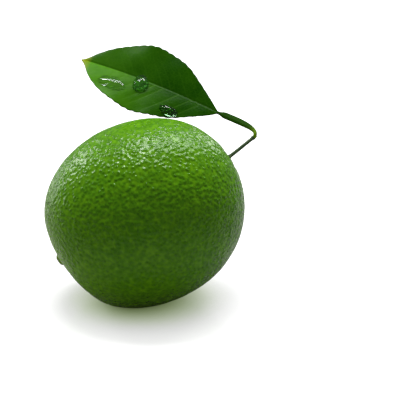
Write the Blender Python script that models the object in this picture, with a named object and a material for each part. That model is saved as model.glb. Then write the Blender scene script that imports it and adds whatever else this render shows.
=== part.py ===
"""A picked lime on its side, with its stalk, one leaf and three drops of water on the leaf.

Metres, +Z up. The origin is the middle of the small flat spot that the fruit rests on. The
fruit's core lies in the XZ plane, with the stem end raised towards +X. The leaf folds back
over the +Y side of the fruit, with its tip towards -X.
"""
from math import asin, atan2, cos, degrees, exp, pi, radians, sin

import bmesh
import bpy
from mathutils import Matrix, Vector
from mathutils.bvhtree import BVHTree

# Driving dimensions: metres, and degrees for angles.
GAP = 0.0003                   # clearance between two pieces that touch

FRUIT_LENGTH = 0.060           # along the core, without the nipple
FRUIT_DIAMETER = 0.056
FRUIT_TILT = 27.0              # rise of the core above the ground
STYLAR_FULLNESS = 0.74         # profile exponent at the nipple end: less than 1 is blunter
STEM_FULLNESS = 1.0            # the same at the stem end: 1 is an ellipse
FLAT_DEPTH = 0.0008            # how far the rind is flattened where it rests
NIPPLE_DIAMETER = 0.0036
NIPPLE_HEIGHT = 0.0011
STALK_OFF_CORE = 11.0          # angle on the fruit between the stem end of the core and the stalk
DIMPLE_RADIUS = 0.0036         # hollow that the button sits in
DIMPLE_DEPTH = 0.0007
FURROWS = 9                    # shallow grooves that run out from the button
FURROW_DEPTH = 0.00030
FURROW_REACH = 0.0055          # distance from the button to their deepest point

# Broad swells and flats of the rind: heading and rise of each from the middle of the fruit,
# half its spread, all in degrees, and its height in metres.
SWELLS = (
    (92.0, 69.0, 24.0, -0.0006),
    (187.0, -43.0, 13.0, -0.0014),
    (157.0, 26.0, 24.0, 0.0004),
)

CALYX_DIAMETER = 0.0046        # across the lobes of the button
CALYX_RIM = 0.0003             # thickness at the lobes
CALYX_HEIGHT = 0.0010          # from the rind to the stalk

TWIG_DIAMETER = 0.00105        # at the leaf's node
TWIG_FOOT_DIAMETER = 0.0015    # at the button
TWIG_LENGTH = 0.0101           # from the button to the leaf's node
TWIG_HEADING = 16.0            # direction of the twig over the ground, from +X towards +Y
TWIG_RISE = 29.5               # and its rise
TWIG_STUB = 0.0008             # cut end that stands past the node

PETIOLE_DIAMETER = 0.0011      # where it leaves the twig
PETIOLE_WING_WIDTH = 0.0024    # across its narrow wings
PETIOLE_THICKNESS = 0.0009
PETIOLE_NECK_WIDTH = 0.0011    # joint with the blade

BLADE_LENGTH = 0.0455
BLADE_WIDTH = 0.0268
BLADE_THICKNESS = 0.0005
BLADE_HEADING = 160.0          # direction of the midrib over the ground, from +X towards +Y
BLADE_RISE = 20.0              # and its rise
BLADE_ROLL = 35.0              # slope across the blade, its +Y margin being the higher
BLADE_FOLD = 9.0               # rise of each half from the midrib
BLADE_ARCH = 0.0017            # height of the midrib's bow
BLADE_WAVE = 0.00035           # ripple of the margins
BLADE_CLEARANCE = 0.0005       # between the blade and the rind
BLADE_BEARING = 34.0           # heading of the blade's base, seen from the fruit's middle
BLADE_ELEVATION = 37.6         # and its rise, seen from there

# Outline of the two halves: a power over 1 sets the widest place nearer the tip, and a
# power under 1 makes the outline fuller.
BLADE_FRONT_HALF = (1.15, 0.75)
BLADE_BACK_HALF = (1.03, 1.0)

# Drops of water: share of the blade's length, share of its half width towards +Y, size.
DROPS = {
    "drop_near_tip": {"along": 0.74, "across": -0.50, "size": (0.0086, 0.0054, 0.0010)},
    "drop_on_midrib": {"along": 0.56, "across": -0.17, "size": (0.0047, 0.0072, 0.0019)},
    "drop_at_margin": {"along": 0.315, "across": -0.75, "size": (0.0058, 0.0040, 0.0014)},
}

FRUIT_SIDES = 72
FRUIT_RINGS = 36
CALYX_SIDES = 30
STALK_SIDES = 12
BLADE_STEPS = 30               # along the midrib
BLADE_STRIPS = 12              # across both halves


def direction(heading, rise):
    """Unit vector at a heading from +X towards +Y and a rise above the ground, in degrees."""
    turn, lift = radians(heading), radians(rise)
    return Vector((cos(lift) * cos(turn), cos(lift) * sin(turn), sin(lift)))


def material(name, colour, roughness, alpha=1.0):
    surface = bpy.data.materials.new(name)
    surface.use_nodes = True
    shader = surface.node_tree.nodes["Principled BSDF"]
    shader.inputs["Base Color"].default_value = (*colour, 1.0)
    shader.inputs["Roughness"].default_value = roughness
    shader.inputs["Metallic"].default_value = 0.0
    shader.inputs["Alpha"].default_value = alpha
    return surface


def add_piece(name, bm, surface):
    """Turn a bmesh into a named, smooth-shaded object with one material."""
    mesh = bpy.data.meshes.new(name)
    bm.to_mesh(mesh)
    mesh.shade_smooth()
    mesh.set_sharp_from_angle(angle=radians(40.0))
    mesh.materials.append(surface)
    piece = bpy.data.objects.new(name, mesh)
    bpy.context.collection.objects.link(piece)
    return piece


def add_ring(bm, points):
    """Add a closed loop of edges through the points."""
    verts = [bm.verts.new(point) for point in points]
    return [bm.edges.new((verts[i - 1], verts[i])) for i in range(len(verts))]


def join_rings(bm, rings):
    """Bridge each loop of edges to the next, and close both ends."""
    for lower, upper in zip(rings, rings[1:]):
        bmesh.ops.bridge_loops(bm, edges=lower + upper)
    for end in (rings[0], rings[-1]):
        bmesh.ops.contextual_create(bm, geom=end)
    bmesh.ops.recalc_face_normals(bm, faces=bm.faces)


def loft(path, side, sections):
    """Sweep an oval along a path: side is the wide direction, sections are width and height."""
    bm = bmesh.new()
    rings = []
    for i, centre in enumerate(path):
        ahead = path[min(i + 1, len(path) - 1)] - path[max(i - 1, 0)]
        wide = (side - side.project(ahead)).normalized()
        high = ahead.cross(wide).normalized()
        width, height = sections[i]
        turns = [2 * pi * k / STALK_SIDES for k in range(STALK_SIDES)]
        rings.append(add_ring(bm, [
            centre + wide * (cos(turn) * width / 2) + high * (sin(turn) * height / 2)
            for turn in turns]))
    join_rings(bm, rings)
    return bm


def curve_points(start, start_pull, end_pull, end, count):
    """Points along a cubic curve from start to end, evenly spaced in its parameter."""
    points = []
    for i in range(count):
        s = i / (count - 1)
        points.append(start * (1 - s) ** 3 + start_pull * 3 * s * (1 - s) ** 2
                      + end_pull * 3 * s * s * (1 - s) + end * s ** 3)
    return points


# The fruit: a profile turned about its core, tilted and flattened where it rests.

def rind_radius(t):
    """Radius of the fruit at t, from 0 at the nipple to pi at the stem end."""
    fullness = STYLAR_FULLNESS + (STEM_FULLNESS - STYLAR_FULLNESS) * (1 - cos(t)) / 2
    return FRUIT_DIAMETER / 2 * max(sin(t), 0.0) ** fullness


def rind_point(t):
    """Point of the profile in the local XZ plane, with the core along X."""
    radius = rind_radius(t)
    nipple = NIPPLE_HEIGHT / (1 + (2 * radius / NIPPLE_DIAMETER) ** 6) if t < pi / 2 else 0.0
    return Vector((-FRUIT_LENGTH / 2 * cos(t) - nipple, 0.0, radius))


def profile():
    """Ring positions: some across the nipple, then even steps to the stem end."""
    across_nipple = [asin((share * NIPPLE_DIAMETER / FRUIT_DIAMETER) ** (1 / STYLAR_FULLNESS))
                     for share in (0.35, 0.7, 1.0, 1.3)]
    step = pi / FRUIT_RINGS
    rings = [k * step for k in range(1, FRUIT_RINGS)]
    return [0.0, *across_nipple, *[t for t in rings if t > 1.3 * across_nipple[-1]], pi]


def swell(place):
    """Height of the swells and flats in the direction of a place, from the fruit's middle."""
    height = 0.0
    for heading, rise, spread, tallest in SWELLS:
        off = degrees(place.angle(direction(heading, rise)))
        height += tallest * exp(-(off / spread) ** 2)
    return height


def press_in(vert, seat, outward):
    """Sink a point of the rind into the dimple and the furrows round the stalk's seat."""
    away = vert.co - seat
    distance = away.length
    depth = DIMPLE_DEPTH * exp(-(distance / DIMPLE_RADIUS) ** 2)
    if distance > 1e-6:
        across = outward.orthogonal().normalized()
        turn = atan2(away.dot(outward.cross(across)), away.dot(across))
        spread = (distance / FURROW_REACH) ** 2 * exp(1 - (distance / FURROW_REACH) ** 2)
        depth += FURROW_DEPTH * spread * (0.5 - 0.5 * cos(FURROWS * turn))
    return vert.co - vert.normal * depth


def build_fruit():
    """Return the fruit's bmesh, its middle, and the stalk's seat on the bare rind."""
    bm = bmesh.new()
    verts = [bm.verts.new(rind_point(t)) for t in profile()]
    edges = [bm.edges.new(pair) for pair in zip(verts, verts[1:])]
    bmesh.ops.spin(bm, geom=verts + edges, cent=(0, 0, 0), axis=(1, 0, 0), angle=2 * pi,
                   steps=FRUIT_SIDES, use_merge=True)
    bmesh.ops.remove_doubles(bm, verts=bm.verts, dist=1e-6)
    bmesh.ops.recalc_face_normals(bm, faces=bm.faces)
    bm.normal_update()

    t = pi - radians(STALK_OFF_CORE)
    seat = Vector((rind_point(t).x, rind_radius(t), 0.0))
    outward = Vector((seat.x / FRUIT_LENGTH ** 2, seat.y / FRUIT_DIAMETER ** 2, 0)).normalized()
    pressed = [press_in(vert, seat, outward) for vert in bm.verts]
    for vert, place in zip(bm.verts, pressed):
        vert.co = place

    tilt = Matrix.Rotation(-radians(FRUIT_TILT), 4, "Y")
    bmesh.ops.transform(bm, matrix=tilt, verts=bm.verts)
    for vert in bm.verts:
        vert.co += vert.co.normalized() * swell(vert.co)
    ground = min(vert.co.z for vert in bm.verts) + FLAT_DEPTH
    cut = bmesh.ops.bisect_plane(bm, geom=bm.verts[:] + bm.edges[:] + bm.faces[:],
                                 plane_co=(0, 0, ground), plane_no=(0, 0, 1),
                                 clear_inner=True)
    rim = [item for item in cut["geom_cut"] if isinstance(item, bmesh.types.BMEdge)]
    flat = bmesh.ops.contextual_create(bm, geom=rim)["faces"][0]
    to_origin = -flat.calc_center_median_weighted()
    bmesh.ops.translate(bm, vec=to_origin, verts=bm.verts)
    return bm, to_origin, tilt @ seat + to_origin, (tilt @ outward).normalized()



def seat_on(rind, point, outward):
    """Drop a point on to the rind beside the stalk, and keep the clearance to it."""
    return rind.ray_cast(point + outward * FRUIT_DIAMETER / 4, -outward)[0] + outward * GAP


def build_calyx(rind, seat, outward):
    """The five-lobed button left between the fruit and its stalk, and its crown's middle."""
    across = outward.orthogonal().normalized()
    foot = TWIG_FOOT_DIAMETER / 2
    edge = CALYX_DIAMETER / 2
    crown = seat_on(rind, seat, outward) + outward * CALYX_HEIGHT
    turns = [2 * pi * k / CALYX_SIDES for k in range(CALYX_SIDES)]
    spokes = [Matrix.Rotation(turn, 3, outward) @ across for turn in turns]

    def ring(radius, notch, height):
        """A loop at a height over the rind: notch is how far in it runs between the lobes."""
        reaches = [radius * (1 - notch * (0.5 - 0.5 * cos(5 * turn))) for turn in turns]
        return [seat_on(rind, seat + spoke * reach, outward) + outward * height
                for spoke, reach in zip(spokes, reaches)]

    loops = [ring(foot, 0.0, 0.0),
             ring(edge, 0.4, 0.0),
             ring(edge, 0.4, CALYX_RIM),
             ring(1.3 * foot, 0.1, 0.7 * CALYX_HEIGHT),
             [crown + spoke * foot for spoke in spokes]]
    bm = bmesh.new()
    join_rings(bm, [add_ring(bm, points) for points in loops])
    return bm, crown


def build_twig(crown, outward):
    """The fruit's stalk, from the button to its cut end just past the leaf's node."""
    reach = direction(TWIG_HEADING, TWIG_RISE)
    start = crown + outward * GAP
    node = start + reach * TWIG_LENGTH
    path = curve_points(start, start + outward * TWIG_LENGTH / 4,
                        node - reach * TWIG_LENGTH / 3, node, 9)
    path.append(node + reach * TWIG_STUB)
    sections = []
    for i in range(len(path)):
        slimmed = min(i / 5, 1.0)
        width = TWIG_FOOT_DIAMETER + (TWIG_DIAMETER - TWIG_FOOT_DIAMETER) * slimmed
        sections.append((width, width))
    return loft(path, Vector((0, 1, 0)), sections), node


def blade_axes():
    """Unit vectors along the midrib, across the blade towards +Y, and up out of it."""
    along = direction(BLADE_HEADING, BLADE_RISE)
    level = along.cross(Vector((0, 0, 1))).normalized()
    across = Matrix.Rotation(radians(BLADE_ROLL), 3, -along) @ level
    return along, across, across.cross(along)


def blade_half_width(s, share):
    """Half the blade's width at s, from base 0 to tip 1, on the side that share is on."""
    widest, fullness = BLADE_FRONT_HALF if share < 0 else BLADE_BACK_HALF
    tip = BLADE_THICKNESS / 2
    return tip + (BLADE_WIDTH / 2 - tip) * max(sin(pi * s ** widest), 0.0) ** fullness


def blade_point(base, s, offset):
    """Middle of the blade's thickness at s along it and an offset across it."""
    along, across, up = blade_axes()
    share = offset / blade_half_width(s, offset)
    fold = abs(offset) * sin(radians(BLADE_FOLD)) * (1 - 0.45 * abs(share))
    ripple = BLADE_WAVE * share ** 2 * sin(7 * pi * s + 1.5 * share) * sin(pi * s)
    bow = BLADE_ARCH * 4 * s * (1 - s)
    return base + along * (s * BLADE_LENGTH) + across * offset + up * (bow + fold + ripple)


def blade_base(rind, middle):
    """Where the blade starts, so that it clears the shoulder of the fruit."""
    lift = direction(BLADE_BEARING, BLADE_ELEVATION)
    base = middle + lift * (FRUIT_DIAMETER / 2 + BLADE_WIDTH / 2)
    steps = [k / BLADE_STEPS for k in range(BLADE_STEPS + 1)]
    shares = [k / BLADE_STRIPS for k in range(-BLADE_STRIPS, 1)]
    for _ in range(12):
        places = [blade_point(base, s, share * blade_half_width(s, share))
                  for s in steps for share in shares]
        nearest = min(rind.find_nearest(place)[3] for place in places)
        base += lift * (BLADE_CLEARANCE + BLADE_THICKNESS / 2 - nearest)
    return base


def build_blade(base):
    """The leaf's blade: a grid laid along the midrib, then thickened."""
    bm = bmesh.new()
    bmesh.ops.create_grid(bm, x_segments=BLADE_STEPS, y_segments=BLADE_STRIPS, size=0.5)
    for vert in bm.verts:
        s = vert.co.x + 0.5
        share = -2 * vert.co.y
        vert.co = blade_point(base, s, share * blade_half_width(s, share))
    up = blade_axes()[2]
    bmesh.ops.translate(bm, vec=up * BLADE_THICKNESS / 2, verts=bm.verts)
    bm.normal_update()
    bmesh.ops.solidify(bm, geom=bm.faces[:], thickness=BLADE_THICKNESS)
    return bm


def build_petiole(node, base):
    """The leaf's own stalk, with narrow wings, from the twig's side to the blade."""
    along, across, up = blade_axes()
    reach = direction(TWIG_HEADING, TWIG_RISE)
    leave = (up - up.project(reach)).normalized()
    start = node + leave * (TWIG_DIAMETER / 2 + GAP)
    end = base - along * GAP
    span = (end - start).length
    count = 16
    path = curve_points(start, start + leave * span / 6, end - along * span / 2, end, count)
    sections = []
    for i in range(count):
        s = i / (count - 1)
        plain = PETIOLE_DIAMETER + (PETIOLE_NECK_WIDTH - PETIOLE_DIAMETER) * s
        wing = max(sin(pi * min(1.0, max(0.0, (s - 0.15) / 0.85))), 0.0)
        width = plain + (PETIOLE_WING_WIDTH - plain) * wing
        height = PETIOLE_DIAMETER + (PETIOLE_THICKNESS - PETIOLE_DIAMETER) * min(1.0, 3 * s)
        sections.append((width, height))
    return loft(path, across, sections)


def build_drop(base, along, across, size):
    """A domed drop on the blade: along and across place it, size is its length, width, rise."""
    up = blade_axes()[2]
    length, width, rise = size
    middle = across * blade_half_width(along, across)
    bm = bmesh.new()
    bmesh.ops.create_uvsphere(bm, u_segments=20, v_segments=10, radius=0.5)
    for vert in bm.verts:
        s = along + vert.co.x * length / BLADE_LENGTH
        stand = BLADE_THICKNESS / 2 + GAP + max(2 * vert.co.z, 0.0) * rise
        vert.co = blade_point(base, s, middle - vert.co.y * width) + up * stand
    return bm


def build_lime():
    """Clear the scene, then build every piece from the fruit outwards."""
    for old in list(bpy.data.objects):
        bpy.data.objects.remove(old, do_unlink=True)

    fruit, middle, seat, outward = build_fruit()
    rind = BVHTree.FromBMesh(fruit)
    calyx, crown = build_calyx(rind, seat, outward)
    twig, node = build_twig(crown, outward)
    base = blade_base(rind, middle)

    bark = material("green_bark", (0.07, 0.14, 0.03), 0.60)
    leaf = material("leaf_green", (0.02, 0.10, 0.005), 0.35)
    add_piece("fruit", fruit, material("lime_rind", (0.09, 0.24, 0.01), 0.38))
    add_piece("calyx", calyx, material("dry_calyx", (0.16, 0.17, 0.06), 0.75))
    add_piece("twig", twig, bark)
    add_piece("petiole", build_petiole(node, base), leaf)
    add_piece("leaf_blade", build_blade(base), leaf)
    water = material("water", (0.80, 0.92, 0.88), 0.02, alpha=0.35)
    for name, place in DROPS.items():
        add_piece(name, build_drop(base, **place), water)


build_lime()
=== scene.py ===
"""A picked lime on its side: fruit, button, twig, leaf stalk, blade and drops of water."""
import math

import bmesh
import bpy
import numpy as np
from mathutils import Matrix, Vector, noise
from mathutils.bvhtree import BVHTree
from mathutils.kdtree import KDTree


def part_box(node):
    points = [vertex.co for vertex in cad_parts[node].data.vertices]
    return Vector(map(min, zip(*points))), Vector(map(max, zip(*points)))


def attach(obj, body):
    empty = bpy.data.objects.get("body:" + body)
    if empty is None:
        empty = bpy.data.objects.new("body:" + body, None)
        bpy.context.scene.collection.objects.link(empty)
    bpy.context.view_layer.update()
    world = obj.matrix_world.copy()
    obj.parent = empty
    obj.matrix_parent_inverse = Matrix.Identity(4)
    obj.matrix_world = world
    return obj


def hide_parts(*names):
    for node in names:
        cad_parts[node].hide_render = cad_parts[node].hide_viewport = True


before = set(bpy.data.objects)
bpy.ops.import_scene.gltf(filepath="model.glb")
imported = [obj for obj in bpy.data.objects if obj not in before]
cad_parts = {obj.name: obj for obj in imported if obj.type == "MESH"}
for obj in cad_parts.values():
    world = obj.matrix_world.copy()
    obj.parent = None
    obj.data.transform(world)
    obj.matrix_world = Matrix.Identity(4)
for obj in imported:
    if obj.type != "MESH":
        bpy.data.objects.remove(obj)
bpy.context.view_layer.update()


# ---- The fruit -----------------------------------------------------------------------
# A ripe but still green seedless lime, grown as one piece: a waxy rind, pebbled all over by
# oil glands, with a small nipple at one end and a dimple with shallow furrows at the other.

fruit_low, fruit_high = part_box("fruit")
core_length = 0.060
rind_diameter = fruit_high.y - fruit_low.y
core_tilt = math.radians(27.0)
# Exponents of the profile at its two ends, where a smaller one makes a blunter end.
nipple_slimness, stem_slimness = 0.74, 1.0
nipple_diameter, nipple_height, nipple_steepness = 0.0036, 0.0011, 6
nipple_scar_diameter, nipple_scar_depth = 0.0011, 0.00030
moat_place, moat_width, moat_share = 0.95, 0.3, 0.25
stalk_off_core = math.radians(11.0)
dimple_radius, dimple_depth = 0.0036, 0.0007
furrows, furrow_depth, furrow_reach = 9, 0.00030, 0.0055
furrow_waver, furrow_wiggle, furrow_unevenness = 0.35, 0.2, 0.4
# Heading, rise and spread in degrees, and height in metres, of broad swells and hollows.
swells = ((92.0, 69.0, 24.0, -0.0006), (187.0, -43.0, 13.0, -0.0014),
          (157.0, 26.0, 24.0, 0.0004))
rind_cuts = 127

def unit(vectors):
    """Rows of an array at length 1."""
    return vectors / np.linalg.norm(vectors, axis=1)[:, None]

def heading_to_way(heading, rise):
    """Unit vector at a heading from +X towards +Y and a rise above the ground, in degrees."""
    turn, lift = math.radians(heading), math.radians(rise)
    level = math.cos(lift)
    return np.array((level * math.cos(turn), level * math.sin(turn), math.sin(lift)))

def rind_profile(t):
    """Place along the core and radius at t, from 0 at the nipple to pi at the stem end."""
    slimness = nipple_slimness + (stem_slimness - nipple_slimness) * (1 - np.cos(t)) / 2
    return -core_length / 2 * np.cos(t), rind_diameter / 2 * np.sin(t) ** slimness

# The profile's t for each angle off the core, packed more closely towards both ends.
even = np.linspace(0, 1, 4001)
profile_t = np.pi * (3 * even ** 2 - 2 * even ** 3)
profile_x, profile_radius = rind_profile(profile_t)
profile_angle = np.arctan2(profile_radius, -profile_x)

stalk_x, stalk_y = rind_profile(np.pi - stalk_off_core)
stalk_seat = Vector((stalk_x, stalk_y, 0.0))
stalk_way = Vector((stalk_x / core_length ** 2, stalk_y / rind_diameter ** 2, 0)).normalized()

def smooth_rind(ways):
    """Places on the rind without its glands, for unit vectors with the core along X."""
    t = np.interp(np.arccos(np.clip(-ways[:, 0], -1, 1)), profile_angle, profile_t)
    x, radius = rind_profile(t)
    ring = ways[:, 1:] / np.maximum(np.linalg.norm(ways[:, 1:], axis=1), 1e-9)[:, None]
    knob = nipple_height / (1 + (2 * radius / nipple_diameter) ** nipple_steepness)
    knob -= nipple_scar_depth * np.exp(-(2 * radius / nipple_scar_diameter) ** 2)
    from_moat = (radius / nipple_diameter - moat_place) / moat_width
    knob -= moat_share * nipple_height * np.exp(-from_moat ** 2)
    x = x - np.where(t < np.pi / 2, knob, 0.0)
    places = np.column_stack((x, ring * radius[:, None]))

    away = places - np.array(stalk_seat)
    distance = np.linalg.norm(away, axis=1)
    across = stalk_way.orthogonal().normalized()
    turn = np.arctan2(away @ np.array(stalk_way.cross(across)), away @ np.array(across))
    depth = dimple_depth * np.exp(-(distance / dimple_radius) ** 2)
    spread = (distance / furrow_reach) ** 2
    waver = furrow_waver * np.sin(2 * turn + 0.8) + furrow_wiggle * np.sin(5 * turn)
    furrow = 0.5 - 0.5 * np.cos(furrows * turn + waver)
    unevenness = 1 + furrow_unevenness * np.sin(3 * turn)
    depth += furrow_depth * spread * np.exp(1 - spread) * furrow * unevenness
    half = np.array((core_length, rind_diameter, rind_diameter)) / 2
    places = places - unit(places / half ** 2) * depth[:, None]

    c, s = math.cos(core_tilt), math.sin(core_tilt)
    places = np.column_stack((places[:, 0] * c - places[:, 2] * s, places[:, 1],
                              places[:, 0] * s + places[:, 2] * c))
    lift = np.zeros(len(places))
    for heading, rise, spread, tallest in swells:
        toward = np.clip(unit(places) @ heading_to_way(heading, rise), -1, 1)
        lift += tallest * np.exp(-(np.degrees(np.arccos(toward)) / spread) ** 2)
    return places + unit(places) * lift[:, None]

def read_points(mesh):
    """Every point of a mesh, as rows of an array."""
    places = np.empty(len(mesh.vertices) * 3)
    mesh.vertices.foreach_get("co", places)
    return places.reshape(-1, 3)

def read_normals(mesh):
    """The way that a mesh faces at each point, as rows of an array."""
    ways = np.empty(len(mesh.vertices) * 3)
    mesh.vertex_normals.foreach_get("vector", ways)
    return ways.reshape(-1, 3)

def write_points(mesh, places):
    """Move every point of a mesh."""
    mesh.vertices.foreach_set("co", places.astype(np.float32).ravel())
    mesh.update()

def paint(mesh, name, values):
    """Store one number a point, for the material to read."""
    layer = mesh.attributes.new(name, "FLOAT", "POINT")
    layer.data.foreach_set("value", values.astype(np.float32))

fruit_bm = bmesh.new()
bmesh.ops.create_cube(fruit_bm, size=2.0)
bmesh.ops.subdivide_edges(fruit_bm, edges=fruit_bm.edges[:], cuts=rind_cuts, use_grid_fill=True)
fruit_mesh = bpy.data.meshes.new("rind")
fruit_bm.to_mesh(fruit_mesh)
fruit_bm.free()

# The tangent makes the cube's cells nearly equal once they lie on the ball.
cube = read_points(fruit_mesh)
places = smooth_rind(unit(np.tan(cube * np.pi / 4)))
middle_x = (fruit_low.x + fruit_high.x - places[:, 0].min() - places[:, 0].max()) / 2
rest = np.array((middle_x, 0.0, fruit_high.z - places[:, 2].max()))
write_points(fruit_mesh, places + rest)
middle = Vector(rest)

# The glands: a spiral of even points over the ball, each one strayed and sized by chance.
gland_spacing, gland_depth = 0.00112, 0.000135
gland_packing, gland_stray, gland_reach = 0.87, 1.15, 0.60
smallest_gland, gland_variety = 0.75, 0.5
lump_size, lump_height = 0.0042, 0.00009

def hashed(index, salt):
    """Evenly spread number from 0 to 1, the same on each run."""
    return np.modf(np.sin(index * 12.9898 + salt * 78.233) * 43758.5453)[0] % 1.0

gland_count = int(4 * math.pi * (rind_diameter / 2) ** 2 / (gland_packing * gland_spacing ** 2))
index = np.arange(gland_count)
height = 1 - 2 * (index + 0.5) / gland_count
turn = np.pi * (1 + 5 ** 0.5) * index
ring = np.sqrt(1 - height ** 2)
ways = np.column_stack((ring * np.cos(turn), ring * np.sin(turn), height))
stray = np.column_stack([hashed(index, salt) - 0.5 for salt in (1, 2, 5)])
ways = unit(ways + stray * gland_stray * gland_spacing / (rind_diameter / 2))
gland_places = smooth_rind(ways) + rest
gland_size = smallest_gland + gland_variety * hashed(index, 3)
glands = KDTree(gland_count)
for i, place in enumerate(gland_places):
    glands.insert(place, i)
glands.balance()

smooth = read_points(fruit_mesh)
outward = read_normals(fruit_mesh)
pit = np.zeros(len(smooth))
relief = np.zeros(len(smooth))
for i, place in enumerate(smooth):
    _, nearest, distance = glands.find(place)
    reach = min(1.0, distance / (gland_reach * gland_spacing * gland_size[nearest]))
    pit[i] = (1 - reach ** 2) ** 2
    lump = noise.noise(Vector(place) / lump_size)
    relief[i] = lump_height * lump - gland_depth * gland_size[nearest] * pit[i]

# The skin is smoother round the stalk, on the nipple and at the flat spot.
stalk_calm_reach, nipple_calm_reach, flat_calm_height = 0.0045, 0.0024, 0.0006
flat_edge, flat_depth = 0.00015, 0.0008
lean = Matrix.Rotation(-core_tilt, 3, "Y")
stalk_out = (lean @ stalk_way).normalized()
from_stalk = np.linalg.norm(smooth - np.array(lean @ stalk_seat + middle), axis=1)
core_way = np.array((math.cos(core_tilt), 0, math.sin(core_tilt)))
from_nipple = np.linalg.norm(smooth - (np.array(middle) - core_length / 2 * core_way), axis=1)
calm = 1 - 0.8 * np.exp(-(from_stalk / stalk_calm_reach) ** 2)
calm *= 1 - 0.85 * np.exp(-(from_nipple / nipple_calm_reach) ** 4)
calm *= np.clip(smooth[:, 2] / flat_calm_height, 0, 1)
finished = smooth + outward * (relief * calm)[:, None]

# The fruit rests on its lowest part, which is flat at the ground and has a soft edge.
raised = (finished[:, 2] + np.sqrt(finished[:, 2] ** 2 + flat_edge ** 2)) / 2
finished[:, 2] = np.maximum(raised - flat_edge ** 2 / (4 * flat_depth), 0.0)
write_points(fruit_mesh, finished)

stalk_pale_reach, nipple_end_light_reach, nipple_brown_reach = 0.0075, 0.015, 0.0021
ground_scuff_height = 0.0035
paint(fruit_mesh, "pit", pit * calm)
paint(fruit_mesh, "near_stalk", np.exp(-(from_stalk / stalk_pale_reach) ** 2))
paint(fruit_mesh, "ground_side", np.exp(-np.maximum(smooth[:, 2], 0) / ground_scuff_height))
# Where the nipple end gets its painted light.
paint(fruit_mesh, "painted_light_nipple_end", np.exp(-(from_nipple / nipple_end_light_reach) ** 2))
paint(fruit_mesh, "near_nipple", np.exp(-(from_nipple / nipple_brown_reach) ** 6))


class Surface:
    """A material's node tree, with short calls that add a node and give its output."""

    def __init__(self, name, **constants):
        self.material = bpy.data.materials.new(name)
        self.material.use_nodes = True
        self.nodes = self.material.node_tree.nodes
        self.links = self.material.node_tree.links
        self.shader = self.nodes["Principled BSDF"]
        self.finish(**constants)
        self.object_place = self.nodes.new("ShaderNodeTexCoord").outputs["Object"]

    def plug(self, node, inputs):
        """Link or set each input of a node; a colour may leave out its alpha."""
        for key, value in inputs.items():
            socket = node.inputs[key]
            if isinstance(value, bpy.types.NodeSocket):
                self.links.new(value, socket)
            elif socket.type == "RGBA":
                socket.default_value = (*value, 1.0)
            else:
                socket.default_value = value

    def add(self, kind, inputs, **settings):
        """Add a node, with its settings and then its inputs, and give its outputs."""
        node = self.nodes.new("ShaderNode" + kind)
        for key, value in settings.items():
            setattr(node, key, value)
        self.plug(node, inputs)
        return node.outputs

    def attribute(self, name):
        return self.add("Attribute", {}, attribute_name=name)["Fac"]

    def noise(self, size, detail=2.0, roughness=0.5):
        """Noise from 0 to 1 whose patches are about size metres across."""
        return self.add("TexNoise", {"Vector": self.object_place, "Scale": 1 / size,
                                     "Detail": detail, "Roughness": roughness})["Fac"]

    def cells(self, size, feature="F1"):
        """Distance within scattered cells that are about size metres across."""
        return self.add("TexVoronoi", {"Vector": self.object_place, "Scale": 1 / size},
                        feature=feature)["Distance"]

    def spread(self, value, low, high, to_low=0.0, to_high=1.0):
        """Map a value from one range to another, held within it."""
        return self.add("MapRange", {"Value": value, "From Min": low, "From Max": high,
                                     "To Min": to_low, "To Max": to_high})["Result"]

    def math(self, operation, first, second):
        return self.add("Math", {0: first, 1: second}, operation=operation)[0]

    def mix(self, share, first, second):
        """Colour that goes from first to second as share goes from 0 to 1."""
        return self.add("Mix", {0: share, 6: first, 7: second}, data_type="RGBA")[2]

    def bump(self, height, distance, under=None):
        """Relief up to distance metres tall, on top of the relief under it."""
        inputs = {"Height": height, "Distance": distance, "Strength": 1.0}
        if under:
            inputs["Normal"] = under
        return self.add("Bump", inputs)["Normal"]

    def finish(self, **inputs):
        """Set or link the shader's own sockets."""
        self.plug(self.shader, {key.replace("_", " "): value for key, value in inputs.items()})
        return self.material


def add_piece(name, mesh, material, node):
    """Put a finished mesh in the scene in place of its CAD node."""
    mesh.materials.append(material)
    mesh.polygons.foreach_set("use_smooth", [True] * len(mesh.polygons))
    piece = bpy.data.objects.new(name, mesh)
    bpy.context.collection.objects.link(piece)
    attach(piece, "root")
    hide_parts(node)


shaded_green, sunny_green = (0.063, 0.226, 0.0004), (0.110, 0.290, 0.0006)
streak_green, ridge_highlight_green = (0.140, 0.350, 0.002), (0.190, 0.450, 0.003)
gland_green, pit_gland_and_shade_green = (0.024, 0.115, 0.0001), (0.030, 0.140, 0.0002)
stalk_end_green, nipple_end_light_green = (0.200, 0.330, 0.045), (0.240, 0.510, 0.002)
scuffed_olive, nipple_olive = (0.250, 0.300, 0.011), (0.120, 0.190, 0.008)
gland_cell, pebble_height, wax_height = 0.00115, 0.000215, 0.000006

rind = Surface("waxy lime rind", Specular_IOR_Level=0.17)
green = rind.mix(rind.noise(0.014, 3.0), shaded_green, sunny_green)
streaks = rind.spread(rind.noise(0.0035, 3.0), 0.45, 0.75, 0.0, 0.24)
streaked = rind.mix(streaks, green, streak_green)
gland_cells = rind.cells(gland_cell, "SMOOTH_F1")
# Lighter cell borders: a painted highlight on the ridges between the glands.
painted_ridge_highlight = rind.spread(gland_cells, 0.44, 0.74, 0.0, 0.34)
ridge_highlighted = rind.mix(painted_ridge_highlight, streaked, ridge_highlight_green)
gland_dots = rind.spread(gland_cells, 0.12, 0.56, 1.0, 0.0)
patchy = rind.spread(rind.noise(0.0045, 2.0), 0.35, 0.65, 0.30, 0.52)
dotted = rind.mix(rind.math("MULTIPLY", gland_dots, patchy), ridge_highlighted, gland_green)
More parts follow.
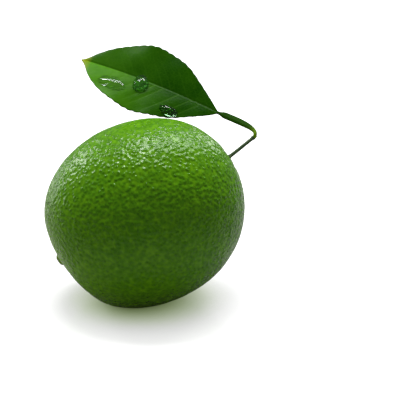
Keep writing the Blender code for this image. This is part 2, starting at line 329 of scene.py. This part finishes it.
# The pits are darker: partly the glands' own colour, partly painted shade in the pits.
pitted = rind.mix(rind.math("MULTIPLY", rind.attribute("pit"), 0.38), dotted, pit_gland_and_shade_green)
stalk_pale = rind.spread(rind.attribute("near_stalk"), 0.2, 1.0, 0.0, 0.45)
stalk_end = rind.mix(stalk_pale, pitted, stalk_end_green)
# Painted light: the nipple end of the rind is painted paler and brighter.
nipple_end_light_share = rind.math("MULTIPLY", rind.attribute("painted_light_nipple_end"), 0.75)
painted_light_nipple_end = rind.mix(nipple_end_light_share, stalk_end, nipple_end_light_green)
scuffs = rind.math("MULTIPLY", rind.attribute("ground_side"), 0.65)
scuffed = rind.mix(scuffs, painted_light_nipple_end, scuffed_olive)
coloured = rind.mix(rind.attribute("near_nipple"), scuffed, nipple_olive)
pebble = rind.spread(gland_cells, 0.0, 0.62, 1.0, 0.0)
pebbled = rind.bump(rind.math("POWER", pebble, 1.3), pebble_height)
wax = rind.bump(rind.noise(0.00020, 2.0), wax_height, under=pebbled)
shine = rind.spread(rind.noise(0.006, 2.0), 0.3, 0.7, 0.17, 0.25)
rind_material = rind.finish(Base_Color=coloured, Normal=wax, Roughness=shine)
add_piece("lime_rind", fruit_mesh, rind_material, "fruit")


# ---- The button ----------------------------------------------------------------------
# The dried calyx that stays on a picked lime: five short lobes that lie on the rind round a
# low boss, corky and mottled olive and brown. It grew there, so nothing else holds it.

calyx_radius, calyx_height, calyx_lobes = 0.0023, 0.0010, 5
boss_reach, lobe_reach, lobe_notch = 0.40, 0.45, 0.40
wrinkle_size, wrinkle_height, tip_curl = 0.0006, 0.00010, 0.00025
above_rind = 0.004
# Radius and height as shares of the whole, from the middle of the underside to the crown.
calyx_outline = ((0, -0.10), (0.5, -0.12), (0.94, -0.05), (1.0, 0.08), (0.97, 0.24),
                 (0.82, 0.30), (0.62, 0.36), (0.50, 0.55), (0.46, 0.86), (0.40, 1.0),
                 (0.30, 1.02), (0, 0.98))

def roll_sheet(name, along_cells, round_cells, shape):
    """Close a flat sheet into a tube with shut ends: shape gives a place for s and turn."""
    bm = bmesh.new()
    bmesh.ops.create_grid(bm, x_segments=along_cells, y_segments=round_cells, size=0.5)
    for vert in bm.verts:
        vert.co = shape(vert.co.x + 0.5, (vert.co.y + 0.5) * 2 * math.pi)
    bmesh.ops.remove_doubles(bm, verts=bm.verts, dist=1e-6)
    bmesh.ops.recalc_face_normals(bm, faces=bm.faces)
    mesh = bpy.data.meshes.new(name)
    bm.to_mesh(mesh)
    bm.free()
    return mesh

rind_faces = [list(face.vertices) for face in fruit_mesh.polygons]
rind_tree = BVHTree.FromPolygons(finished.tolist(), rind_faces)
seat_angle = math.atan2(stalk_y, -stalk_x)
toward_seat = np.array([[-math.cos(seat_angle), math.sin(seat_angle), 0.0]])
seat = Vector(smooth_rind(toward_seat)[0] + rest)
seat_side = stalk_out.orthogonal().normalized()
seat_turn = stalk_out.cross(seat_side)
calyx_steps = np.linspace(0, 1, len(calyx_outline))
calyx_reaches, calyx_heights = zip(*calyx_outline)

def calyx_shape(s, turn):
    reach = float(np.interp(s, calyx_steps, calyx_reaches))
    height = float(np.interp(s, calyx_steps, calyx_heights)) * calyx_height
    notch = 0.5 - 0.5 * math.cos(calyx_lobes * turn)
    outer = min(1.0, max(0.0, (reach - boss_reach) / lobe_reach))
    radius = calyx_radius * reach * (1 - lobe_notch * outer * notch ** 1.5)
    radius *= 1 + 0.05 * outer * math.sin(3 * turn + 1) + 0.03 * math.sin(9 * turn)
    side = (seat_side * math.cos(turn) + seat_turn * math.sin(turn)) * radius
    hit = rind_tree.ray_cast(seat + side + stalk_out * above_rind, -stalk_out)[0]
    on_top = reach > 0.45 and s > 0.3
    wrinkle = noise.noise((seat + side) / wrinkle_size) * wrinkle_height * on_top
    curl = tip_curl * outer ** 3 * (1 - notch) * (1 + math.sin(2 * turn))
    return (hit or seat + side) + stalk_out * (height + wrinkle + curl)

olive_cork, brown_cork = (0.085, 0.095, 0.022), (0.230, 0.190, 0.080)
cork = Surface("dry calyx", Roughness=0.82, Specular_IOR_Level=0.3)
cork_patches = cork.spread(cork.noise(0.0007, 4.0, 0.65), 0.35, 0.7)
cork_material = cork.finish(Base_Color=cork.mix(cork_patches, olive_cork, brown_cork),
                            Normal=cork.bump(cork.noise(0.00025, 3.0), 0.00006))
add_piece("button", roll_sheet("button", 44, 120, calyx_shape), cork_material, "calyx")


# ---- The twig ------------------------------------------------------------------------
# A centimetre of green twig that was cut with the fruit. It leaves the button, thins at
# once, and ends in a swollen node with the pale stub of the cut just past the leaf's stalk.

twig_radius, twig_foot_radius, twig_foot_run = 0.000525, 0.00075, 0.10
twig_length, twig_stub = 0.0101, 0.0008
twig_end, twig_sunk, twig_clear = 0.03, 0.0002, 0.0003
node_swell, node_place, node_run = 0.00016, 0.90, 0.045
cut_start, cut_blend = 0.62, 0.00020
twig_way = Vector(heading_to_way(16.0, 29.5))
boss_foot = rind_tree.ray_cast(seat + stalk_out * above_rind, -stalk_out)[0]
crown = boss_foot + stalk_out * calyx_height
twig_start = crown - stalk_out * twig_sunk
twig_node = crown + stalk_out * twig_clear + twig_way * twig_length

def curve(controls, s):
    """Point and direction at s on the cubic curve through four control places."""
    a, b, c, d = controls
    r = 1 - s
    place = a * r ** 3 + b * 3 * r * r * s + c * 3 * r * s * s + d * s ** 3
    return place, ((b - a) * r * r + (c - b) * 2 * r * s + (d - c) * s * s).normalized()

twig_curve = (twig_start, twig_start + stalk_out * twig_length / 4,
              twig_node - twig_way * twig_length / 3, twig_node)
stub_share = twig_stub / (twig_length + twig_stub)

def twig_shape(s, turn):
    length = min(1.0, max(0.0, s - twig_end) / (1 - 2 * twig_end))
    place, way = curve(twig_curve, min(1.0, length / (1 - stub_share)))
    place = place + twig_way * max(0.0, length - 1 + stub_share) * (twig_length + twig_stub)
    side = way.cross(Vector((0, 0, 1))).normalized()
    foot = math.exp(-(length / twig_foot_run) ** 2)
    radius = twig_radius + (twig_foot_radius - twig_radius) * foot
    radius += node_swell * math.exp(-((length - node_place) / node_run) ** 2)
    radius *= 1 + 0.07 * math.cos(5 * turn + 2 * length) + 0.025 * math.cos(11 * turn)
    ends = min(1.0, s / twig_end, (1 - s) / twig_end)
    return place + (side * math.cos(turn) + side.cross(way) * math.sin(turn)) * radius * ends

twig_mesh = roll_sheet("cut_twig", 130, 40, twig_shape)
past_node = (read_points(twig_mesh) - np.array(twig_node)) @ np.array(twig_way)
paint(twig_mesh, "cut", np.clip((past_node - cut_start * twig_stub) / cut_blend, 0, 1))

dark_bark, light_bark = (0.022, 0.060, 0.016), (0.060, 0.105, 0.030)
lenticel_grey, fresh_cut = (0.16, 0.17, 0.09), (0.42, 0.47, 0.26)
bark = Surface("green bark", Roughness=0.55, Specular_IOR_Level=0.4)
bark_patches = bark.spread(bark.noise(0.0009, 4.0, 0.6), 0.3, 0.7)
barky = bark.mix(bark_patches, dark_bark, light_bark)
lenticels = bark.spread(bark.cells(0.0011), 0.10, 0.20, 1.0, 0.0)
barky = bark.mix(bark.math("MULTIPLY", lenticels, 0.5), barky, lenticel_grey)
barky = bark.mix(bark.attribute("cut"), barky, fresh_cut)
bark_material = bark.finish(Base_Color=barky, Normal=bark.bump(bark.noise(0.0003, 3.0), 0.00004))
add_piece("cut_twig", twig_mesh, bark_material, "twig")


# ---- The leaf blade ------------------------------------------------------------------
# One stiff, glossy leaf: dark above, paler and matt beneath, folded a little along a sunk
# midrib, with side veins that curve towards the tip and a margin of shallow rounded teeth.

blade_length, blade_width, blade_margin = 0.0455, 0.0268, 0.00025
blade_fold, fold_ease, blade_arch, blade_wave = math.radians(9.0), 0.45, 0.0017, 0.00035
# Exponents of each half's outline: a larger first one puts its widest place nearer the tip,
# and a larger second one makes it slimmer.
near_half, far_half = (1.15, 0.75), (1.03, 1.0)
blade_along = Vector(heading_to_way(160.0, 20.0))
blade_level = blade_along.cross(Vector((0, 0, 1))).normalized()
blade_across = Matrix.Rotation(math.radians(35.0), 3, -blade_along) @ blade_level
blade_up = blade_across.cross(blade_along)

def blade_half_width(s, share):
    """Half the blade's width at s from base 0 to tip 1, on the side that share is on."""
    widest = np.where(share < 0, near_half[0], far_half[0])
    slimness = np.where(share < 0, near_half[1], far_half[1])
    swell = np.maximum(np.sin(np.pi * np.clip(s, 0, 1) ** widest), 0.0) ** slimness
    return blade_margin + (blade_width / 2 - blade_margin) * swell

def blade_places(s, offset):
    """Middle of the blade's thickness, from a base at the origin, for arrays s and offset."""
    share = offset / blade_half_width(s, offset)
    fold = np.abs(offset) * math.sin(blade_fold) * (1 - fold_ease * np.abs(share))
    ripple = blade_wave * share ** 2 * np.sin(7 * np.pi * s + 1.5 * share) * np.sin(np.pi * s)
    bow = blade_arch * 4 * s * (1 - s)
    return (np.outer(s * blade_length, blade_along) + np.outer(offset, blade_across)
            + np.outer(bow + fold + ripple, blade_up))

blade_bm = bmesh.new()
bmesh.ops.create_grid(blade_bm, x_segments=240, y_segments=150, size=0.5)
below = bmesh.ops.duplicate(blade_bm, geom=blade_bm.faces[:])["geom"]
below_verts = [item for item in below if isinstance(item, bmesh.types.BMVert)]
bmesh.ops.translate(blade_bm, verts=below_verts, vec=(0, 0, -1.0))
bmesh.ops.bridge_loops(blade_bm, edges=[edge for edge in blade_bm.edges if edge.is_boundary])
bmesh.ops.recalc_face_normals(blade_bm, faces=blade_bm.faces[:])
# Along, across and up are left-handed on this blade, so its faces are turned once here.
bmesh.ops.reverse_faces(blade_bm, faces=blade_bm.faces[:])
blade_mesh = bpy.data.meshes.new("veined_blade")
blade_bm.to_mesh(blade_mesh)
blade_bm.free()

# The outline: rows of cells crowd in at the midrib, and the margin has its teeth.
row_crowding = 0.35
tooth_length, tooth_depth, tooth_shift = 0.0024, 0.00030, 0.7
tip_pinch, tip_run = 0.55, 0.050
flat = read_points(blade_mesh)
top = (flat[:, 2] > -0.5).astype(float)
s = flat[:, 0] + 0.5
spaced = 2 * flat[:, 1]
share = spaced * (row_crowding + (1 - row_crowding) * spaced ** 2)
tooth = np.abs(np.sin(np.pi * s * blade_length / tooth_length + tooth_shift * np.sign(share)))
notches = tooth_depth * (1 - tooth) * np.sin(np.pi * s) * np.abs(share) ** 8
pinched = 1 - tip_pinch * np.exp(-((1 - s) / tip_run) ** 2) * (s < 0.999)
offset = share * (blade_half_width(s, share) * pinched - notches)

# The side veins: each leaves the midrib at a lean and bends towards the tip.
vein_spacing, vein_lean, vein_bend = 0.0041, math.radians(58.0), 11.0
near_vein_start, far_vein_start, vein_stray = 0.30, 0.72, 0.18
vein_at_margin, vein_taper = 0.00013, 0.00009
run, out = s * blade_length, np.abs(offset)
slope = out / math.tan(vein_lean) + vein_bend * out ** 2
nearest = np.full(len(s), 1.0)
for side, start in ((-1, near_vein_start), (1, far_vein_start)):
    for k in range(-1, 12):
        leave = (k + start + vein_stray * math.sin(2.3 * k + side)) * vein_spacing
        away = np.abs(run - leave - slope) * math.sin(vein_lean)
        nearest = np.where((np.sign(share) == side) & (away < nearest), away, nearest)
vein_width = vein_at_margin + vein_taper * (1 - np.abs(share))
vein = np.exp(-(nearest / vein_width) ** 2) * (1 - np.abs(share) ** 6) * np.sin(np.pi * s) ** 0.4

# Thickness and relief: the blade puckers up between veins, and the midrib stands out beneath.
margin_thickness, middle_thickness = 0.00020, 0.00022
pucker_reach, pucker_height = 0.0011, 0.00005
midrib_width, midrib_groove, shoulder_height, vein_groove = 0.00030, 0.00003, 0.00002, 0.00003
shoulder_place, shoulder_width = 0.0007, 0.00035
keel_width, keel_depth, keel_taper, vein_stand = 0.00042, 0.00042, 0.6, 0.00007
uneven_height, uneven_frequency, uneven_slice = 0.00010, 160, 3.1
pucker = 1 - np.exp(-(nearest / pucker_reach) ** 2)
pucker *= np.sin(np.pi * s) * (1 - share ** 4) * (1 - np.exp(-(out / 0.0015) ** 2))
midrib = np.exp(-(out / midrib_width) ** 2)
shoulder = np.exp(-((out - shoulder_place) / shoulder_width) ** 2)
thickness = margin_thickness + middle_thickness * (1 - share ** 2)
uneven = np.array([
    noise.noise(Vector((a * uneven_frequency, b * uneven_frequency, uneven_slice)))
    for a, b in zip(run, offset)])
rise = pucker_height * pucker + uneven_height * uneven * np.sin(np.pi * s) ** 0.5
above = (rise + thickness / 2 - midrib_groove * midrib + shoulder_height * shoulder
         - vein_groove * vein)
keel = keel_depth * (1 - keel_taper * s) * np.exp(-(out / keel_width) ** 2)
beneath = rise - thickness / 2 - keel - vein_stand * vein
blade_low, blade_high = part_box("leaf_blade")
whole = blade_places(s, offset)
whole += np.outer(np.where(top > 0.5, above, beneath), blade_up)
blade_base = (np.array((blade_low + blade_high) / 2)
              - (whole.min(axis=0) + whole.max(axis=0)) / 2)
write_points(blade_mesh, whole + blade_base)

# Painted sheen: the blade is painted lighter towards the tip, most on the near half.
far_vein_share, far_sheen_share, sheen_start, sheen_run = 0.2, 0.30, 0.32, 0.53
vein_shown = np.where((share > 0) & (top > 0.5), far_vein_share, 1.0)
painted_sheen_share = np.clip((s - sheen_start) / sheen_run, 0, 1) ** 1.3
paint(blade_mesh, "top", top)
paint(blade_mesh, "midrib", midrib)
paint(blade_mesh, "vein", vein * vein_shown)
paint(blade_mesh, "along", s)
paint(blade_mesh, "painted_sheen", painted_sheen_share * np.where(share < 0, 1.0, far_sheen_share))

deep_green, deep_green_light = (0.006, 0.044, 0.0003), (0.013, 0.066, 0.0006)
painted_sheen_green, painted_sheen_green_light = (0.050, 0.190, 0.004), (0.075, 0.250, 0.007)
net_above, vein_above = (0.060, 0.180, 0.008), (0.090, 0.240, 0.020)
midrib_above, yellow_tip = (0.060, 0.160, 0.006), (0.240, 0.300, 0.010)
pale_green, pale_green_light = (0.085, 0.190, 0.030), (0.115, 0.240, 0.045)
net_beneath, vein_beneath = (0.060, 0.150, 0.020), (0.160, 0.290, 0.075)
midrib_beneath = (0.190, 0.310, 0.090)
matt, glossy = 0.62, 0.24

leaf = Surface("glossy leaf", Specular_IOR_Level=0.016)
broad = leaf.spread(leaf.noise(0.006, 3.0), 0.3, 0.7)
small = leaf.spread(leaf.noise(0.004, 3.0), 0.3, 0.7)
net = leaf.spread(leaf.cells(0.0010, "DISTANCE_TO_EDGE"), 0.0, 0.10, 1.0, 0.0)
veins, rib = leaf.attribute("vein"), leaf.attribute("midrib")
deep = leaf.mix(broad, deep_green, deep_green_light)
# The painted sheen towards the tip.
light = leaf.mix(small, painted_sheen_green, painted_sheen_green_light)
upper = leaf.mix(leaf.attribute("painted_sheen"), deep, light)
upper = leaf.mix(leaf.math("MULTIPLY", net, 0.12), upper, net_above)
upper = leaf.mix(leaf.math("MULTIPLY", veins, 0.22), upper, vein_above)
upper = leaf.mix(leaf.math("MULTIPLY", rib, 0.06), upper, midrib_above)
lower = leaf.mix(small, pale_green, pale_green_light)
lower = leaf.mix(leaf.math("MULTIPLY", net, 0.35), lower, net_beneath)
lower = leaf.mix(veins, lower, vein_beneath)
lower = leaf.mix(rib, lower, midrib_beneath)
two_sided = leaf.mix(leaf.attribute("top"), lower, upper)
tipped = leaf.mix(leaf.spread(leaf.attribute("along"), 0.93, 0.985), two_sided, yellow_tip)
dull = leaf.spread(leaf.attribute("top"), 0.0, 1.0, matt, glossy)
fine = leaf.bump(net, 0.000006)
grain = leaf.bump(leaf.noise(0.0004, 2.0), 0.000004, under=fine)
leaf_material = leaf.finish(Base_Color=tipped, Roughness=dull, Normal=grain)
add_piece("veined_blade", blade_mesh, leaf_material, "leaf_blade")


# ---- The leaf's stalk ----------------------------------------------------------------
# A short petiole that grew from the twig's node and bends sharply back to the blade: round
# and yellow-green where it starts, then widened by a thin wing on each side, and pinched
# again at the joint where the blade starts.

petiole_diameter, petiole_wing_width, petiole_thickness = 0.0012, 0.0025, 0.0010
petiole_end_share, petiole_groove, groove_width = 0.02, 0.00010, 0.18
wing_start, wing_run, wing_shut, wing_shut_run = 0.24, 0.56, 0.985, 0.07
wing_thinning, joint_pinch, joint_place, joint_run = 0.30, 0.22, 0.97, 0.025
petiole_lean_out, petiole_sunk, joint_overlap = 0.6, 0.3, 0.0004
pull_at_node, pull_at_blade = 0.20, 0.78
petiole_upright = (blade_up - blade_up.project(twig_way)).normalized()
petiole_leave = (petiole_upright + twig_way * petiole_lean_out).normalized()
petiole_start = twig_node + petiole_leave * twig_radius * petiole_sunk
petiole_end = Vector(blade_base) + blade_along * joint_overlap
petiole_span = (petiole_end - petiole_start).length
petiole_curve = (petiole_start, petiole_start + petiole_leave * petiole_span * pull_at_node,
                 petiole_end - blade_along * petiole_span * pull_at_blade, petiole_end)

def petiole_shape(s, turn):
    length = min(1.0, max(0.0, (s - petiole_end_share) / (1 - 2 * petiole_end_share)))
    place, way = curve(petiole_curve, length)
    across = (blade_across - blade_across.project(way)).normalized()
    up = across.cross(way)
    spread = min(1.0, max(0.0, (length - wing_start) / wing_run))
    shut = min(1.0, max(0.0, (wing_shut - length) / wing_shut_run))
    wing = spread ** 2 * (3 - 2 * spread) * shut ** 0.7
    pinch = 1 - joint_pinch * math.exp(-((length - joint_place) / joint_run) ** 2)
    width = (petiole_diameter + (petiole_wing_width - petiole_diameter) * wing) * pinch
    flatter = (petiole_thickness - petiole_diameter) * min(1.0, 3 * length)
    height = (petiole_diameter + flatter) * pinch
    height *= 1 - wing_thinning * wing * abs(math.cos(turn))
    trough = math.exp(-(math.cos(turn) / groove_width) ** 2) * (math.sin(turn) > 0)
    ends = min(1.0, s / petiole_end_share, (1 - s) / petiole_end_share)
    return (place + across * math.cos(turn) * width / 2 * ends
            + up * (math.sin(turn) * height / 2 - petiole_groove * wing * trough) * ends)

petiole_mesh = roll_sheet("leaf_stalk", 110, 48, petiole_shape)
from_node = np.linalg.norm(read_points(petiole_mesh) - np.array(twig_node), axis=1)
young_and_lit_reach = 0.0022
paint(petiole_mesh, "young_and_lit", np.exp(-(from_node / young_and_lit_reach) ** 2))

stalk_green, stalk_green_light = (0.009, 0.044, 0.0005), (0.018, 0.068, 0.0010)
young_and_lit_green = (0.190, 0.340, 0.012)
stalk = Surface("leaf stalk", Roughness=0.50, Specular_IOR_Level=0.018)
stalk_patches = stalk.spread(stalk.noise(0.0012, 3.0), 0.3, 0.7)
stalky = stalk.mix(stalk_patches, stalk_green, stalk_green_light)
# Yellow-green near the node: partly the young stalk's own colour, partly a painted highlight on
# the bend.
stalky = stalk.mix(stalk.attribute("young_and_lit"), stalky, young_and_lit_green)
stalk_material = stalk.finish(Base_Color=stalky,
                              Normal=stalk.bump(stalk.noise(0.0003, 3.0), 0.00004))
add_piece("leaf_stalk", petiole_mesh, stalk_material, "petiole")


# ---- Drops of water ------------------------------------------------------------------
# Three drops left on the blade after rinsing, held by surface tension: a long flat one near
# the tip, a tall one beside the midrib, and one caught at the near margin.

drop_sunk, leaf_half_thickness = 0.00006, 0.00018
# The two thicker drops are tinted dark green, a painted shade that darkens them beyond clear
# water.
shade_tinted_water = Surface("water", Base_Color=(0.40, 0.74, 0.44), Roughness=0.0, IOR=1.333,
                      Transmission_Weight=1.0, Alpha=0.90)
thin_water = Surface("thin water", Base_Color=(0.86, 0.97, 0.88), Roughness=0.0, IOR=1.333,
                     Transmission_Weight=1.0, Alpha=0.65)

def add_drop(name, node, water, along, across, length, width, rise, lean):
    """A dome of water on the blade, placed by its shares along and across it."""
    bm = bmesh.new()
    bmesh.ops.create_uvsphere(bm, u_segments=64, v_segments=40, radius=1.0)
    mesh = bpy.data.meshes.new(name)
    bm.to_mesh(mesh)
    bm.free()
    ball = read_points(mesh)
    level = np.maximum(ball[:, 2], 0.0)
    around = np.arctan2(ball[:, 1], ball[:, 0])
    wobble = 1 + 0.05 * np.sin(2 * around + 3 * along) + 0.04 * np.sin(3 * around + 9 * along)
    foot = np.sqrt(np.maximum(1 - level ** 2, 0))
    reach = np.where(ball[:, 2] < 0, np.linalg.norm(ball[:, :2], axis=1), foot)
    x = np.cos(around) * reach * wobble
    y = np.sin(around) * reach * wobble + lean * level
    s = along + x * length / 2 / blade_length
    offset = across * float(blade_half_width(np.array(along), np.array(across)))
    stand = leaf_half_thickness - drop_sunk + level * rise
    base = blade_places(s, offset - y * width / 2)
    write_points(mesh, base + np.outer(stand, blade_up) + blade_base)
    add_piece(name, mesh, water.material, node)

# Share along and across the blade, then length, width and rise, and lean across.
add_drop("water_near_tip", "drop_near_tip", thin_water,
         0.74, -0.50, 0.0086, 0.0054, 0.0010, 0.0)
add_drop("water_on_midrib", "drop_on_midrib", shade_tinted_water,
         0.56, -0.17, 0.0047, 0.0072, 0.0021, -0.10)
add_drop("water_at_margin", "drop_at_margin", shade_tinted_water,
         0.315, -0.75, 0.0058, 0.0040, 0.0014, 0.15)


# ---- Studio --------------------------------------------------------------------------
# A pale floor, strips and windows of soft light from above and behind, and the camera a little
# above the fruit. Only the camera sees the floor and the backdrop white: they are dimmer for
# every other ray, so that they don't grey the greens. For the camera the floor glows, with a
# soft painted contact shadow near the fruit, tinted green as a painted reflection of the rind.

frame_width, camera_distance, sensor_width = 0.12108, 0.45, 36.0
azimuth, elevation = math.radians(-12.5), math.radians(20.0)
shift_right, shift_up = 0.1322, 0.028
right = Vector((math.cos(azimuth), math.sin(azimuth), 0))
level_back = math.cos(elevation)
back = Vector((math.sin(azimuth) * level_back, -math.cos(azimuth) * level_back,
               math.sin(elevation)))
upward = back.cross(right)
view_middle = middle + right * shift_right * frame_width + upward * shift_up * frame_width
camera_data = bpy.data.cameras.new("camera")
camera_data.sensor_width = sensor_width
camera_data.lens = sensor_width * camera_distance / frame_width
camera = bpy.data.objects.new("camera", camera_data)
camera.location = view_middle + back * camera_distance
camera.rotation_mode = "QUATERNION"
camera.rotation_quaternion = (-back).to_track_quat("-Z", "Y")
bpy.context.collection.objects.link(camera)
bpy.context.scene.camera = camera
bpy.context.scene.view_settings.view_transform = "Standard"

floor_size = 6.0
bounce_grey, seen_grey, painted_bounce_green = (0.40, 0.40, 0.38), (0.45, 0.45, 0.45), (0.66, 1.0, 0.20)
shade_reach, painted_light_gain, painted_light_least, green_until = 0.048, 1.30, 0.07, 0.75
polish_roughness, polish_share = 0.10, 0.20
floor_bm = bmesh.new()
bmesh.ops.create_grid(floor_bm, x_segments=1, y_segments=1, size=floor_size)
floor_mesh = bpy.data.meshes.new("floor")
floor_bm.to_mesh(floor_mesh)
floor_bm.free()
acrylic = Surface("pale floor", Base_Color=bounce_grey, Roughness=1.0, Specular_IOR_Level=0.0)
# Painted shadow: the floor's glow dims where it is hemmed in near the fruit, and turns green
# there as a painted reflection.
open_sky = acrylic.add("AmbientOcclusion", {"Distance": shade_reach})["AO"]
painted_light_share = acrylic.add("Math", {0: open_sky, 1: painted_light_gain, 2: painted_light_least},
                        operation="MULTIPLY_ADD")[0]
painted_bounce_tint = acrylic.mix(acrylic.spread(painted_light_share, 0.0, green_until), painted_bounce_green, (1, 1, 1))
painted_floor_glow = acrylic.add("Emission", {"Color": painted_bounce_tint, "Strength": painted_light_share})[0]
painted = acrylic.add("BsdfDiffuse", {"Color": seen_grey})[0]
diffuse_and_painted_glow = acrylic.add("AddShader", {0: painted, 1: painted_floor_glow})[0]
polish = acrylic.add("BsdfAnisotropic", {"Roughness": polish_roughness})[0]
polished = acrylic.add("MixShader", {0: polish_share, 1: diffuse_and_painted_glow, 2: polish})[0]
seen = acrylic.add("LightPath", {})["Is Camera Ray"]
either = acrylic.add("MixShader", {0: seen, 1: acrylic.shader.outputs[0], 2: polished})[0]
acrylic.plug(acrylic.nodes["Material Output"], {0: either})
floor_mesh.materials.append(acrylic.material)
floor = bpy.data.objects.new("floor", floor_mesh)
bpy.context.collection.objects.link(floor)

light_distance = 0.50

def add_light(name, way, width, height, brightness):
    """A softbox that faces the fruit, from a way given in the camera's right, up and back."""
    data = bpy.data.lights.new(name, "AREA")
    data.shape = "RECTANGLE"
    data.size, data.size_y = width, height
    data.energy = brightness * math.pi * width * height
    light = bpy.data.objects.new(name, data)
    toward = (right * way[0] + upward * way[1] + back * way[2]).normalized()
    light.location = middle + toward * light_distance
    side = (right - right.project(toward)).normalized()
    facing = Matrix((side, toward.cross(side), toward)).transposed()
    light.rotation_mode = "QUATERNION"
    light.rotation_quaternion = facing.to_quaternion()
    bpy.context.collection.objects.link(light)

add_light("top strip", (-0.03, 0.99, 0.07), 0.26, 0.13, 14.0)
add_light("top window", (-0.15, 0.955, 0.19), 0.15, 0.05, 40.0)
add_light("high strip", (0.38, 0.90, -0.14), 0.20, 0.16, 11.5)
add_light("left window", (-0.66, 0.64, -0.38), 0.08, 0.22, 10.5)
add_light("right window", (0.45, 0.58, -0.68), 0.10, 0.12, 5.0)
add_light("left fill", (-0.75, 0.0, -0.66), 0.30, 0.40, 2.2)

backdrop_glow, backdrop_seen = 0.24, 1.0
world = bpy.data.worlds.new("studio")
bpy.context.scene.world = world
world.use_nodes = True
sky, links = world.node_tree.nodes, world.node_tree.links
backdrop = sky.new("ShaderNodeMixShader")
for place, brightness in ((1, backdrop_glow), (2, backdrop_seen)):
    white = sky.new("ShaderNodeBackground")
    white.inputs["Color"].default_value = (1, 1, 1, 1)
    white.inputs["Strength"].default_value = brightness
    links.new(white.outputs[0], backdrop.inputs[place])
links.new(sky.new("ShaderNodeLightPath").outputs["Is Camera Ray"], backdrop.inputs[0])
links.new(backdrop.outputs[0], sky["World Output"].inputs[0])
